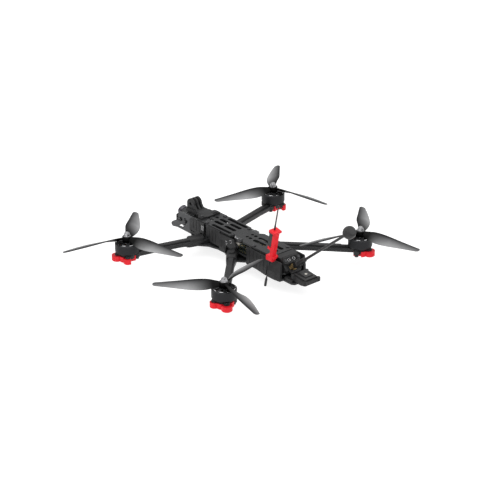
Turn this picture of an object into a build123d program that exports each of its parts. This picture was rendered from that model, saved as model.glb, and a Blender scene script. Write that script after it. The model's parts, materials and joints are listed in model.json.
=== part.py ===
from build123d import *
import os
from math import atan, atan2, cos, degrees, pi, radians, sin

# Driving dimensions, millimetres.  Nose along -Y, left side +X, +Z up.
# The origin is the centre of the motor pattern on the underside of the bottom plate.
MOTOR_X_FRONT = 136.0
MOTOR_Y_FRONT = -99.4
MOTOR_X_REAR = 125.0
MOTOR_Y_REAR = 99.4
PROP_RADIUS = 95.25
PROP_PITCH = 94.0

BOTTOM_Z = (0.0, 2.5)
ARM_Z = (2.5, 8.5)
MID_Z = (8.5, 10.5)
STANDOFF_Z = (10.5, 28.0)
TOP_Z = (28.0, 30.5)
PAD_Z = -2.0
BODY_HALF = 20.0
PANEL_T = 2.0
VENT_X = 23.6

ARM_ROOT_FRONT = (20.0, -68.7)
ARM_ROOT_REAR = (20.0, -7.7)
ARM_INNER_X = 0.4
ARM_ROOT_WIDTH = 15.0
ARM_MID_WIDTH = 11.4
ARM_END_WIDTH = 13.0
LOBE_SKEW = -19.2
HOLE_CIRCLE_R = 13.4
LOBE_R = 4.4
M3_R = 1.5
M3_HOLE_R = 1.55
M3_HEAD_R = 2.75
GUARD_WALL = 2.0
GUARD_TOP_Z = 6.2
GUARD_CUT = -2.0
GUARD_SLEEVE = 9.0

FLANGE_TOP_Z = 10.1
BELL_R = 17.25
BELL_INNER_R = 15.2
BELL_Z = (10.9, 24.3, 26.5)
BELL_CORNER_R = 1.8
STATOR_R = 14.2
STATOR_Z = (12.4, 21.6)
SHAFT_R = 2.5
RUNNING_GAP = 0.05
BEARING_TUBE_R = 4.4
WIRE_R = 1.0
HUB_Z = (26.5, 34.0)
HUB_R = 6.6
NUT_Z = (34.0, 39.0)

CAGE_X = (14.5, 17.0)
CAGE_REAR_Y = -84.0
ROLLER_YZ = (-147.0, 2.0)
ROLLER_R = 4.0
TILT_YZ = (-130.0, 14.5)
TILT_ANGLE = 20.0
TILT_SLOT_R = 12.0
TILT_SLOT_HALF_ANGLE = 21.0
CAMERA_HALF = 9.5

FIN_YZ = (-117.0, 40.5)
FIN_BORE_R = 2.55
FIN_T = 3.0
FIN_PITCH = 6.1
FIN_R = 8.0

CAPACITOR_R = 5.2
CRADLE_HALF = 4.0
STACK_Y = 12.0
STACK_HALF = 15.25
SHROUD_HALF = 15.5
BAR_Y = 10.6
SMA_YZ = (98.7, 16.9)
SMA_ELEVATION = 39.4
TRAY_Y = (109.0, 137.0)
TRAY_TOP_Z = (12.5, 9.5)
TRAY_YZ = (123.0, 11.0)
WHIP_X = 24.0
WHIP_YZ = (76.5, 30.5)
WHIP_LEAN = 11.7
WHIP_R = 0.9
WHIP_BORE_R = 0.95

STANDOFFS = [(16.5, -67.8), (15.0, -12.8), (16.5, 35.0), (16.0, 68.0)]
ARM_INNER_BOLTS = [(6.0, -65.0), (6.0, -22.0)]
MOTORS = {
    "fl": (MOTOR_X_FRONT, MOTOR_Y_FRONT, -15.5, 1),
    "fr": (-MOTOR_X_FRONT, MOTOR_Y_FRONT, -14.4, -1),
    "rr": (-MOTOR_X_REAR, MOTOR_Y_REAR, -16.5, 1),
    "rl": (MOTOR_X_REAR, MOTOR_Y_REAR, -41.9, -1),
}


def block(x, y, z):
    """Box between two bounds on each axis."""
    size = [b - a for a, b in (x, y, z)]
    centre = [(a + b) / 2 for a, b in (x, y, z)]
    return Pos(*centre) * Box(*size)


def disc(x, y, z, radius):
    """Upright cylinder between two heights."""
    return Pos(x, y, (z[0] + z[1]) / 2) * Cylinder(radius, z[1] - z[0])


def rod_x(x, y, z, radius):
    """Cylinder along X between two bounds."""
    turned = Rot(Y=90) * Cylinder(radius, x[1] - x[0])
    return Pos((x[0] + x[1]) / 2, y, z) * turned


def plate(points, z):
    """Flat plate cut to an outline."""
    face = make_face(Polyline(*points, close=True))
    return Pos(0, 0, z[0]) * extrude(face, z[1] - z[0])


def side_plate(points, x):
    """Plate standing in a plane of constant x, its outline given as (y, z)."""
    face = make_face(Polyline(*points, close=True))
    return Pos(x[0], 0, 0) * (Plane.YZ * extrude(face, x[1] - x[0]))


def symmetric(points):
    """Close a left half outline with its mirror image."""
    return points + [(-x, y) for x, y in reversed(points)]


def both_sides(shape):
    return [shape, mirror(shape, about=Plane.YZ)]


def slot(x, y, z):
    """Stadium cutter with its long axis along Y."""
    radius = (x[1] - x[0]) / 2
    centre = (x[0] + x[1]) / 2
    cutter = block(x, (y[0] + radius, y[1] - radius), z)
    return cutter + disc(centre, y[0] + radius, z, radius) + disc(centre, y[1] - radius, z, radius)


def countersink(x, y):
    """Flush screw head sunk in the underside of the bottom plate."""
    cone = Cone(3.0, M3_R, 1.5)
    return Pos(x, y, 0.75) * cone


def group(solids):
    flat = []
    for shape in solids:
        flat += shape.solids()
    return Compound(children=flat) if len(flat) > 1 else flat[0]


def save(shape, name):
    shape.label = name
    export_step(shape, f"parts/{name}.step")


# ------------------------------------------------------------------ carbon plates

def bolt_points():
    left = STANDOFFS + ARM_INNER_BOLTS
    return left + [(-x, y) for x, y in left]


def bottom_plate():
    left = [
        (17, -112), (17, -106), (22, -97), (22, -90), (30, -84), (48, -85), (50.5, -82.5),
        (50.5, -72), (48, -69.5), (36, -66), (26, -54), (22, -38), (22, -24), (27, -12), (34, 2),
        (27, 12), (BODY_HALF, 20), (BODY_HALF, 97), (18, 98), (18, 114), (15, 118),
    ]
    shape = plate(symmetric(left), BOTTOM_Z)
    for x, y in bolt_points():
        shape -= disc(x, y, (-1, 3), M3_R) + countersink(x, y)
    return shape - disc(0, 107, (-1, 3), 2.2)


def mid_plate():
    left = [(12, -82), (BODY_HALF, -77), (BODY_HALF, 92), (15, 98)]
    shape = plate(symmetric(left), MID_Z)
    for x, y in bolt_points():
        shape -= disc(x, y, (8, 11), M3_R)
    for x in (-STACK_HALF, STACK_HALF):
        for y in (STACK_Y - STACK_HALF, STACK_Y + STACK_HALF):
            shape -= disc(x, y, (8, 11), M3_R)
    return shape - slot((-CRADLE_HALF, CRADLE_HALF), (-58, -26), (8, 11))


def top_plate():
    left = [
        (11, -90), (17, -88.5), (BODY_HALF, -84), (BODY_HALF, -14), (14.5, -8), (14.5, 8),
        (BODY_HALF, 14), (BODY_HALF, 66), (15, 76),
    ]
    shape = plate(symmetric(left), TOP_Z)
    cut = (27, 32)
    for x, y in STANDOFFS:
        for side in (-x, x):
            shape -= disc(side, y, cut, M3_R)
    for x in (-5.5, 4.5):
        shape -= disc(x, -79.0, cut, 2.4)
        shape -= slot((x - 2.6, x + 2.6), (-75.5, -69), cut)
        shape -= slot((x - 3.1, x + 3.1), (-65.5, -46.5), cut)
        shape -= slot((x - 3.1, x + 3.1), (-43, -19.5), cut)
        shape -= disc(x, 5.6, cut, 2.4)
        shape -= slot((x - 2.6, x + 2.6), (9.6, 15.6), cut)
        shape -= slot((x - 3.1, x + 3.1), (19.5, 45.5), cut)
        shape -= slot((x - 3.1, x + 3.1), (49.5, 70), cut)
    for x in ((12.3, 17.9), (-17.9, -12.3)):
        shape -= slot(x, (-59, -17), cut)
    for x in (-12.5, 12.5):
        shape -= disc(x, -84.5, cut, M3_R)
    return shape


def waist_brackets():
    """Aluminium tabs that fill the narrow waist, each with a lip under the top plate."""
    outline = [(14.5, -7), (19.6, -3.4), (19.6, 3.9), (14.5, 7.5)]
    lip = plate([(11.5, -7)] + outline + [(11.5, 7.5)], (TOP_Z[0] - 1.8, TOP_Z[0]))
    return group(both_sides(plate(outline, TOP_Z) + lip))


def standoffs():
    pieces = []
    for x, y in STANDOFFS:
        for side in (-x, x):
            pieces.append(disc(side, y, STANDOFF_Z, 2.6) - disc(side, y, STANDOFF_Z, M3_R))
            if y > 0:
                spacer = disc(side, y, (BOTTOM_Z[1], MID_Z[0]), 3.0)
                pieces.append(spacer - disc(side, y, ARM_Z, M3_R))
    return group(pieces)


def button_screw(x, y, z, depth):
    head = disc(x, y, (z, z + 1.7), M3_HEAD_R)
    head = chamfer(head.edges().group_by(Axis.Z)[-1], 0.6)
    head -= Pos(x, y, z + 1.7) * extrude(RegularPolygon(1.15, 6), amount=-1.0)
    return head + disc(x, y, (z - depth, z), M3_R)


def frame_screws():
    """Flush screws from below, button heads on the deck and the arm clamp nuts."""
    pieces = []
    for x, y in STANDOFFS:
        for side in (-x, x):
            pieces.append(button_screw(side, y, TOP_Z[1], 8.0))
            pieces.append(countersink(side, y) + disc(side, y, (0, 17.0), M3_R))
    for x, y in ARM_INNER_BOLTS:
        for side in (-x, x):
            nut = Pos(side, y, MID_Z[1]) * extrude(RegularPolygon(3.1, 6), amount=2.4)
            pieces.append(countersink(side, y) + disc(side, y, (0, 13.6), M3_R) + nut)
    return group(pieces + motor_screws() + mount_screws() + vent_screws() + tail_screws())


# ------------------------------------------------------------------ arms and motors

def arm_frame(name):
    """Motor centre, unit vector towards the body, arm length and mirror sign."""
    mx, my = MOTORS[name][:2]
    side = 1 if mx > 0 else -1
    root = ARM_ROOT_FRONT if my < 0 else ARM_ROOT_REAR
    dx = root[0] * side - mx
    dy = root[1] - my
    length = (dx * dx + dy * dy) ** 0.5
    return mx, my, dx / length, dy / length, length, side


def along(name, s, t):
    """Point at distance s from the motor centre towards the body, t to one side."""
    mx, my, ux, uy, _, side = arm_frame(name)
    return (mx + ux * s - uy * t * side, my + uy * s + ux * t * side)


def strip(name, stations, z):
    """Bar along an arm from (distance, half width) stations."""
    one = [along(name, s, w) for s, w in stations]
    other = [along(name, s, -w) for s, w in reversed(stations)]
    return plate(one + other, z)


def lobe_points(name, radius):
    mx, my, ux, uy, _, side = arm_frame(name)
    outward = degrees(atan2(-uy, -ux))
    skew = LOBE_SKEW if my < 0 else -LOBE_SKEW
    turns = [radians(outward + side * skew + 90 * k) for k in range(4)]
    return [(mx + radius * cos(turn), my + radius * sin(turn)) for turn in turns]


def lobed_disc(name, radius, lobe_radius, z):
    """Disc on a motor axis with a round ended lobe out to each of its four screws."""
    centre = Vector(*MOTORS[name][:2])
    shape = disc(centre.X, centre.Y, z, radius)
    for x, y in lobe_points(name, HOLE_CIRCLE_R):
        tip = Vector(x, y)
        ray = (tip - centre).normalized()
        side = Vector(-ray.Y, ray.X) * lobe_radius
        corners = [centre + side, tip + side, tip - side, centre - side]
        shape += plate([(c.X, c.Y) for c in corners], z) + disc(x, y, z, lobe_radius)
    return shape


def arm_end(name, offset, z):
    """Four lobed motor seat grown by an offset."""
    return lobed_disc(name, 11.5 + offset, LOBE_R + offset, z)


def inner_reach(name):
    """Distance from the motor at which the arm axis meets the middle of the body."""
    mx, _, ux, _, _, _ = arm_frame(name)
    return abs(mx / ux)


def arm_stations(name, clearance=0.0):
    length = arm_frame(name)[4]
    reach = inner_reach(name)
    return [
        (0.0, ARM_END_WIDTH / 2 + clearance), (24.0, ARM_END_WIDTH / 2 + clearance),
        (40.0, ARM_MID_WIDTH / 2 + clearance), (length - 42.0, ARM_MID_WIDTH / 2 + clearance),
        (length - 26.0, ARM_ROOT_WIDTH / 2 + clearance), (reach + 12.0, ARM_ROOT_WIDTH / 2 + clearance),
    ]


def arm(name):
    side = arm_frame(name)[5]
    shape = strip(name, arm_stations(name), ARM_Z) + arm_end(name, 0.0, ARM_Z)
    keep = (ARM_INNER_X, 180) if side > 0 else (-180, -ARM_INNER_X)
    shape &= block(keep, (-180, 180), ARM_Z)
    shape = chamfer(shape.edges().group_by(Axis.Z)[-1], 0.5)
    row = 0 if MOTORS[name][1] < 0 else 1
    for x, y in (STANDOFFS[row], ARM_INNER_BOLTS[row]):
        shape -= disc(x * side, y, (2, 9), M3_R)
    for x, y in lobe_points(name, HOLE_CIRCLE_R):
        shape -= disc(x, y, (2, 9), M3_R)
    return shape - disc(*MOTORS[name][:2], (2, 9), 4.0)


def arm_cover(name):
    """Rounded root cap with a narrow wire strip running towards the motor."""
    length = arm_frame(name)[4]
    root = strip(name, [(length - 27.0, 7.5), (length - 3.0, 7.5)], (ARM_Z[1], 12.6))
    root = fillet(root.edges().filter_by(Axis.Z), 3.5)
    root = fillet(root.edges().group_by(Axis.Z)[-1], 2.6)
    if MOTORS[name][1] > 0:
        knob = disc(*along(name, length - 13.5, 0.0), (ARM_Z[1], 15.4), 5.2)
        root += fillet(knob.edges().group_by(Axis.Z)[-1], 1.6)
    wire_strip = strip(name, [(27.0, 3.8), (length - 24.0, 3.8)], (ARM_Z[1], 11.2))
    wire_strip = chamfer(wire_strip.edges().group_by(Axis.Z)[-1], 0.7)
    return root + wire_strip - block((-BODY_HALF, BODY_HALF), (-120, 60), (8, 13))


def motor_guard(name):
    """Printed bumper that cups the two outer lobes and has a short sleeve along the arm."""
    mx, my = MOTORS[name][:2]
    height = (PAD_Z, GUARD_TOP_Z)
    nose_x, nose_y = lobe_points(name, HOLE_CIRCLE_R + 1.2)[0]
    cup = arm_end(name, GUARD_WALL, height) + disc(nose_x, nose_y, height, LOBE_R + 3.2)
    cup = chamfer(cup.edges().group_by(Axis.Z)[0], 0.8)
    cup -= strip(name, [(GUARD_CUT, 40.0), (60.0, 40.0)], (PAD_Z - 1, GUARD_TOP_Z + 1))
    half = ARM_END_WIDTH / 2 + 2.8
    sleeve = strip(name, [(GUARD_CUT - 4.0, half), (GUARD_SLEEVE, half)], height)
    shape = cup + chamfer(sleeve.edges().group_by(Axis.Z)[0], 0.8)
    pocket_z = (ARM_Z[0], GUARD_TOP_Z + 1)
    shape -= arm_end(name, 0.0, pocket_z)
    shape -= strip(name, [(0.0, ARM_END_WIDTH / 2), (40.0, ARM_END_WIDTH / 2)], pocket_z)
    for x, y in lobe_points(name, HOLE_CIRCLE_R):
        shape -= disc(x, y, (-3, 3), M3_R)
        shape -= disc(x, y, (-3, 0.8), M3_HEAD_R + 0.2)
    return shape - disc(mx, my, (-3, 3), 6.0)


def arm_covers():
    return group([arm_cover(name) for name in MOTORS])


def motor_guards():
    return group([motor_guard(name) for name in MOTORS])


def motor_screws():
    pieces = []
    for name in MOTORS:
        for x, y in lobe_points(name, HOLE_CIRCLE_R):
            pieces.append(disc(x, y, (-0.9, 0.8), M3_HEAD_R) + disc(x, y, (0.8, 9.6), M3_R))
    return pieces


def motor_flange(name):
    """Lobed flange of a motor, without its holes."""
    return lobed_disc(name, 11.0, 3.4, (ARM_Z[1], FLANGE_TOP_Z))


def motor_base(name):
    """Flange and bearing tube, the still half of a motor."""
    mx, my = MOTORS[name][:2]
    shape = motor_flange(name)
    shape += disc(mx, my, (FLANGE_TOP_Z, 12.4), 8.5) + disc(mx, my, (12.4, 23.6), BEARING_TUBE_R)
    for x, y in lobe_points(name, HOLE_CIRCLE_R):
        shape -= disc(x, y, (8, 11), M3_R)
    return shape - disc(mx, my, (8, 24), SHAFT_R + RUNNING_GAP)


def stator(name):
    """Twelve wound teeth on an iron ring."""
    mx, my = MOTORS[name][:2]
    ring = disc(0, 0, STATOR_Z, 7.2)
    coil_z = (STATOR_Z[0] + 0.2, STATOR_Z[1] - 0.2)
    for k in range(12):
        turn = Rot(Z=30 * k)
        ring += turn * block((6.5, 12.9), (-0.9, 0.9), STATOR_Z)
        ring += turn * block((7.6, 12.4), (-1.55, 1.55), coil_z)
        ring += turn * block((12.6, STATOR_R - 0.5), (-2.9, 2.9), STATOR_Z)
    ring &= disc(0, 0, STATOR_Z, STATOR_R)
    return Pos(mx, my, 0) * (ring - disc(0, 0, (12, 23), BEARING_TUBE_R))


def motor_bell(name):
    """Turned bell with magnets inside the wall and open spokes on top."""
    mx, my = MOTORS[name][:2]
    z0, z1, z2 = BELL_Z
    profile = [
        (SHAFT_R, z2), (9.0, z2), (BELL_R - 1.2, z1 + 1.0), (BELL_R, z1), (BELL_R, z0),
        (BELL_INNER_R, z0), (BELL_INNER_R, z1 - 1.2), (9.0, z2 - 2.0), (SHAFT_R, z2 - 2.0),
    ]
    face = make_face(Plane.XZ * Polyline(*profile, close=True))
    bell = revolve(face, Axis.Z)
    rim = [e for e in bell.edges().filter_by(GeomType.CIRCLE) if e.radius > BELL_R - 0.01]
    bell = fillet([min(rim, key=lambda e: e.center().Z)], BELL_CORNER_R)
    for k in range(9):
        window = plate([(7.6, -0.9), (14.6, -3.2), (14.9, 1.2), (8.2, 1.5)], (22.0, 27.0))
        bell -= Rot(Z=40 * k) * window
    return Pos(mx, my, 0) * bell


def shaft_and_nut(name):
    """Threaded motor shaft with the flanged lock nut that clamps the propeller."""
    mx, my = MOTORS[name][:2]
    nut = Pos(0, 0, NUT_Z[0]) * extrude(RegularPolygon(4.5, 6), amount=3.6)
    nut += disc(0, 0, (NUT_Z[0], NUT_Z[0] + 1.0), 5.0) + disc(0, 0, (NUT_Z[0] + 3.6, NUT_Z[1]), 3.6)
    nut -= disc(0, 0, NUT_Z, SHAFT_R)
    shaft = chamfer(disc(0, 0, (10.8, 40.2), SHAFT_R).edges().group_by(Axis.Z)[-1], 0.5)
    return Pos(mx, my, 0) * group([shaft, nut])


BLADE_STATIONS = [
    # radius, chord, thickness, height of the chord centre, sweep of the chord centre
    (5.0, 9.0, 3.4, 30.4, 0.0), (11.0, 11.0, 2.8, 30.4, 0.2), (20.0, 15.5, 2.2, 30.3, 0.9),
    (33.0, 20.0, 1.8, 30.2, 1.9), (50.0, 19.4, 1.5, 29.9, 2.0), (66.0, 15.6, 1.3, 29.4, 1.0),
    (80.0, 12.0, 1.1, 28.9, -0.2), (89.0, 9.6, 0.9, 28.5, -1.0), (93.4, 7.6, 0.8, 28.4, -1.4),
    (95.2, 4.4, 0.7, 28.3, -1.6),
]


def blade_section(station, spin):
    """Thin cambered section; the leading edge faces the direction of spin."""
    radius, chord, thick, height, sweep = station
    pitch = min(radians(38), atan(PROP_PITCH / (2 * pi * radius)))
    outline = []
    for part, rise in ((0.5, 0.0), (0.22, 0.75), (-0.15, 0.62), (-0.5, 0.0), (-0.15, -0.14), (0.22, -0.3)):
        along_chord = part * chord
        above = rise * thick
        y = spin * (along_chord * cos(pitch) - above * sin(pitch) - sweep)
        z = height + along_chord * sin(pitch) + above * cos(pitch)
        outline.append(Vector(radius, y, z))
    upper = Spline(*outline[:4])
    lower = Spline(outline[3], outline[4], outline[5], outline[0])
    return make_face([upper, lower])


def propeller(name):
    mx, my, rest, spin = MOTORS[name]
    hub = disc(0, 0, HUB_Z, HUB_R)
    hub = fillet(hub.edges().group_by(Axis.Z)[-1], 0.8)
    blade = loft([blade_section(station, spin) for station in BLADE_STATIONS])
    for k in range(3):
        hub += Rot(Z=120 * k) * blade
    hub -= disc(0, 0, (20, 40), SHAFT_R)
    return Pos(mx, my, 0) * (Rot(Z=rest) * hub)


def motor_wires():
    """Three sleeved phase wires from each motor to its cover strip."""
    pieces = []
    for name in MOTORS:
        for t in (-2.3, 0.0, 2.3):
            start = along(name, 11.0, t)
            end = along(name, 27.0, t)
            path = Vector(end[0] - start[0], end[1] - start[1], 0)
            wire = Cylinder(WIRE_R, path.length)
            middle = Vector((start[0] + end[0]) / 2, (start[1] + end[1]) / 2, ARM_Z[1] + WIRE_R)
            pieces.append(Plane(origin=middle, z_dir=path) * wire - motor_flange(name))
    return group(pieces)


# ------------------------------------------------------------------ nose

def cage_plate():
    outline = [
        (-112, 0), (-112, 2.5), (CAGE_REAR_Y, 2.5), (CAGE_REAR_Y, 28), (-121, 28), (-131, 26.5),
        (-139, 20), (-139, 9), (-145.5, 5.8), (-148.5, 5.6), (-150.8, 3.2), (-150.8, 0.8),
        (-148.5, -1.7), (-145.5, -1.7), (-137, 0),
    ]
    shape = side_plate(outline, CAGE_X)
    shape -= side_plate([(-135.5, 2.5), (-126, 8), (-122.5, 7), (-123, 3.5)], (14, 18))
    shape -= block((14, 18), (-137, -134), (10.5, 21.5))
    shape -= block((14, 18), (-108, -88), (7, 22))
    shape -= rod_x((14, 18), *TILT_YZ, M3_HOLE_R)
    travel = CenterArc((0, 0), TILT_SLOT_R, -TILT_SLOT_HALF_ANGLE, 2 * TILT_SLOT_HALF_ANGLE)
    tilt_slot = Plane.YZ * (Pos(*TILT_YZ) * SlotArc(travel, 3.2))
    shape -= Pos(14, 0, 0) * extrude(tilt_slot, 4)
    return shape


def cage_crossbars():
    """Deck between the cage plates and the rear lower tie bar."""
    deck = block((-CAGE_X[0], CAGE_X[0]), (-120, -104), (26, 28))
    deck -= slot((-3.5, 3.5), (-117, -107), (25, 29))
    tie = rod_x((-CAGE_X[0], CAGE_X[0]), -86.8, 14.5, 2.5)
    return group([deck, tie])


def bumper_roller():
    roller = rod_x((-CAGE_X[0], CAGE_X[0]), *ROLLER_YZ, ROLLER_R)
    for x in (-9, -3, 3, 9):
        ring = rod_x((x - 0.6, x + 0.6), *ROLLER_YZ, ROLLER_R + 1)
        roller -= ring - rod_x((x - 1, x + 1), *ROLLER_YZ, ROLLER_R - 0.5)
    return roller


def camera_pose(shape):
    """Move a camera piece from its own axes, lens along -Y, to the tilted rest pose."""
    return Pos(0, *TILT_YZ) * (Rot(X=-TILT_ANGLE) * shape)


def camera_body():
    half = CAMERA_HALF
    case = block((-half, half), (-half, half), (-half, half))
    case = chamfer(case.edges(), 0.8)
    case -= Rot(X=90) * disc(0, 0, (half - 2.5, half + 1), 6.2)
    case += block((-5.5, 5.5), (half, half + 2.2), (-3.0, 2.0))
    return camera_pose(case)


def camera_bracket():
    """Cheeks that fill the gap to the cage and reach back to the tilt slots."""
    reach = TILT_SLOT_R * cos(radians(TILT_ANGLE)), TILT_SLOT_R * sin(radians(TILT_ANGLE))
    inner, outer = CAMERA_HALF, CAGE_X[0] - 0.3
    cheek = block((inner, outer), (-4.5, 4.5), (-4.5, 4.5))
    cheek += block((inner, outer), (0, reach[0] + 2.6), (-2.4, reach[1] + 2.4))
    cheek -= rod_x((inner, outer), 0, 0, M3_R) + rod_x((inner, outer), *reach, M3_R)
    return camera_pose(group(both_sides(cheek)))


def camera_lens():
    barrel = Rot(X=90) * (disc(0, 0, (7.0, 13.0), 6.2) + disc(0, 0, (13.0, 18.6), 7.4))
    barrel = chamfer(barrel.edges().group_by(Axis.Y)[0], 0.6)
    barrel -= Rot(X=90) * disc(0, 0, (17.0, 20.0), 5.8)
    return camera_pose(barrel)


def camera_screws():
    """Pivot and clamp screws that turn with the camera."""
    reach = TILT_SLOT_R * cos(radians(TILT_ANGLE)), TILT_SLOT_R * sin(radians(TILT_ANGLE))
    pieces = []
    for y, z, head_r in ((0.0, 0.0, 3.0), (*reach, 2.6)):
        screw = rod_x((CAMERA_HALF + 0.1, 17.3), y, z, M3_R) + rod_x((17.3, 18.9), y, z, head_r)
        screw -= rod_x((18.0, 19.5), y, z, 1.2)
        pieces += both_sides(screw)
    return camera_pose(group(pieces))


def action_camera_mount():
    """Printed saddle with three fins for an action camera."""
    saddle = [
        (-125, 28), (-90.2, 28), (-90.2, TOP_Z[1]), (-80, TOP_Z[1]), (-80, 32.5), (-100, 34.5),
        (-125, 33.5),
    ]
    body = side_plate(saddle, (-9.5, 9.5))
    cy, cz = FIN_YZ
    for k in (-1, 0, 1):
        x = (k * FIN_PITCH - FIN_T / 2, k * FIN_PITCH + FIN_T / 2)
        body += side_plate([(cy - FIN_R, cz), (cy + FIN_R, cz), (-103, 33), (-125, 33)], x)
        body += rod_x(x, cy, cz, FIN_R)
    foot = plate([(7, -96), (17, -88.5), (17, -80), (7, -80)], (TOP_Z[1], 33.5))
    neck = plate([(7, -104), (12, -97), (12, -90), (7, -90)], (TOP_Z[1], 33.5))
    for ear in both_sides(foot + neck):
        body += ear
    for x in (-12.5, 12.5):
        body -= disc(x, -84.5, (29, 35), M3_R)
    return body - rod_x((-9, 9), cy, cz, FIN_BORE_R)


def mount_screws():
    return [button_screw(x, -84.5, 33.5, 6.5) for x in (-12.5, 12.5)]


# ------------------------------------------------------------------ side skins

def panel(outline):
    return side_plate(outline, (BODY_HALF, BODY_HALF + PANEL_T))


def side_panels_front():
    """Nose cheeks with seam grooves and a dog bone slot."""
    shape = panel([
        (-102, 8), (-97, 5.5), (-80, 5.5), (-78, 13.2), (-69.5, 13.2),
        (-69.5, 29.5), (-98, 29.5), (-102, 26),
    ])
    for y in (-92.5, -86, -79.5):
        shape -= block((21.4, 23), (y - 0.35, y + 0.35), (13.5, 30))
    shape -= block((19, 23), (-98, -92), (9, 10.4))
    for y in (-98, -92):
        shape -= rod_x((19, 23), y, 9.7, 1.4)
    shape += block((CAGE_X[1], BODY_HALF), (-99, -95.5), (22.6, 27))
    return group(both_sides(shape))


def side_panels_middle():
    """Long skin that thickens into a louvred block above the rear arm."""
    skin = panel([(-64, 13.2), (-58, 13.2), (-55, 6), (-34, 6), (-34, 29.5), (-64, 29.5)])
    for y in (-57, -50, -43):
        skin -= block((21.4, 23), (y - 0.35, y + 0.35), (9, 30))
    outline = [(-34, 3.5), (-20.5, 3.5), (-18.5, 13.2), (1.5, 13.2), (3, 19), (-3, 27), (-34, 27)]
    vent = side_plate(outline, (BODY_HALF, VENT_X))
    vent = chamfer(vent.faces().sort_by(Axis.X)[-1].edges(), 0.6)
    for y in range(-31, -19, 3):
        vent -= block((VENT_X - 0.5, VENT_X + 1), (y - 0.5, y + 0.5), (8, 20))
    return group(both_sides(skin + vent))


def vent_screws():
    pieces = []
    for y, z in ((-17.5, 19.0), (-8.0, 23.6)):
        head = rod_x((VENT_X, VENT_X + 1.2), y, z, 1.9)
        pieces += both_sides(head - rod_x((VENT_X + 0.7, VENT_X + 2), y, z, 0.9))
    return pieces


def rear_section(y, low, high):
    """Cross section of a rear skin; low and high are its outer x at the foot and the top."""
    inner = BODY_HALF
    points = [(inner, 0.0), (low, 0.0), (low, 11.0), (high, 27.0), (inner, 27.0)]
    return make_face(Polyline(*[Vector(x, y, z) for x, z in points], close=True))


def flare_sections():
    stations = [(46.0, 22.3, 22.0), (70.0, 25.6, 22.4), (86.0, 25.6, 22.4), (97.0, 24.0, 22.0)]
    return [rear_section(*station) for station in stations]


def side_panels_rear():
    """Ribbed rear skins that flare out towards the tail."""
    shape = loft([rear_section(24.0, 22.0, 22.0)] + flare_sections(), ruled=True)
    for y in range(31, 64, 8):
        shape -= block((21.4, 30), (y - 0.4, y + 0.4), (3, 25))
    left, right = both_sides(shape)
    wire_groove = whip_box((-1.3, 6.0), (-1.3, 1.3), (-40.0, 3.0))
    return group([left - wire_groove, right])


# ------------------------------------------------------------------ tail

def tail_axis(distance):
    """Plane on the video antenna axis, a distance out from the slanted tail face."""
    rise = radians(SMA_ELEVATION)
    out = Vector(0, cos(rise), sin(rise))
    origin = Vector(0, *SMA_YZ) + out * distance
    return Plane(origin=origin, x_dir=(-1, 0, 0), z_dir=out)


def tail_disc(start, end, radius):
    return tail_axis(start) * extrude(Circle(radius), end - start)


def tail_box(x, y, s):
    """Box on the slanted tail face; y runs up the face and s outwards."""
    centre = Pos((x[0] + x[1]) / 2, (y[0] + y[1]) / 2, 0)
    return tail_axis(s[0]) * (centre * extrude(Rectangle(x[1] - x[0], y[1] - y[0]), s[1] - s[0]))


def rear_shroud():
    """Slanted tail cover with a port bar above a recessed antenna seat."""
    outline = [(77, 10.5), (77, 30), (88, 30), (104, 10.5)]
    inner = [(76, 13), (76, 27.5), (84.5, 27.5), (96.4, 13)]
    shape = side_plate(outline, (-SHROUD_HALF, SHROUD_HALF)) - side_plate(inner, (-13.5, 13.5))
    shape -= tail_box((-11.5, 11.5), (-5.5, 4.6), (-2.2, 2.0))
    bar = tail_axis(-1.0) * (Pos(0, BAR_Y, 0) * extrude(SlotOverall(2 * SHROUD_HALF, 10.5), 4.2))
    bar = chamfer(bar.faces().sort_by(Axis.Y)[-1].edges(), 0.7)
    shape += bar - tail_box((-8.4, 8.4), (BAR_Y - 3.0, BAR_Y + 3.0), (1.6, 4.0))
    for x in (-4.4, 4.4):
        shape -= tail_axis(0.2) * (Pos(x, BAR_Y, 0) * extrude(Circle(2.3), 3.0))
    shape -= block((-17, -9), (97, 106), (9, 14.5)) + block((9, 17), (97, 106), (9, 14.5))
    return shape - tail_disc(-8, 3, 3.2)


def tail_screws():
    pieces = []
    for x in (-11.6, 11.6):
        head = tail_axis(3.2) * (Pos(x, BAR_Y, 0) * extrude(Circle(1.9), 1.0))
        pieces.append(head - tail_axis(3.7) * (Pos(x, BAR_Y, 0) * extrude(RegularPolygon(0.9, 6), 1.0)))
    return pieces


def sma_connector():
    shape = tail_disc(-5, 1.8, 3.2) + tail_disc(1.8, 9.4, 3.1)
    shape += tail_axis(-2.2) * extrude(RegularPolygon(5.0, 6), 2.0)
    shape += tail_axis(-2.2) * extrude(Rectangle(13.0, 6.0), 0.8)
    return shape - tail_disc(6.0, 9.6, 1.6)


def vtx_antenna():
    """Lollipop antenna: threaded collar, sleeve, stalk and flattened round head."""
    profile = [
        (3.15, 3.9), (4.3, 3.9), (4.3, 11.5), (3.5, 12.3), (3.5, 27.0), (3.0, 29.0), (1.9, 30.0),
        (1.9, 130.5), (4.5, 132.0), (7.4, 133.2), (8.8, 136.2), (8.8, 141.0), (7.4, 144.0), (4.5, 145.2), (0.0, 145.6),
        (0.0, 9.9), (3.15, 9.9),
    ]
    face = make_face(Polyline(*[Vector(r, 0, s) for r, s in profile], close=True))
    turned = revolve(face, Axis.Z)
    return tail_axis(0).location * turned


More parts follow.
